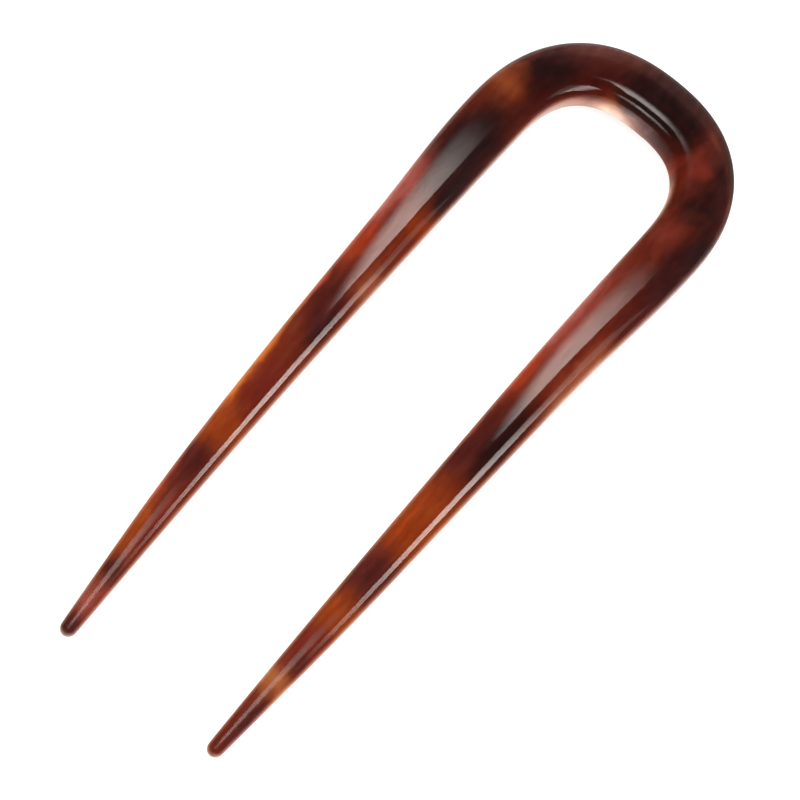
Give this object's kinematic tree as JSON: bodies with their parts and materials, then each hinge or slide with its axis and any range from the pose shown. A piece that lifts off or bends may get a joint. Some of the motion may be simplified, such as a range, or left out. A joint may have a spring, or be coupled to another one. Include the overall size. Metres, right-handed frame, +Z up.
{
  "type": "french hair pin",
  "caption": "U-shaped bowed hair pin in polished tortoiseshell acetate, a broad crown with two tapering round-tipped prongs that hold a bun or twist.",
  "frame": {"origin": "on the surface that the pin lies on, under the middle of its outline", "axes": "+X across the two prongs, +Y from the tips to the crown, +Z up through the bowed front face"},
  "size_m": [0.038, 0.1152, 0.0121],
  "materials": {
    "tortoiseshell": "polished translucent tortoiseshell acetate"
  },
  "bodies": {
    "root": {"pin": "tortoiseshell"}
  },
  "joints": []
}
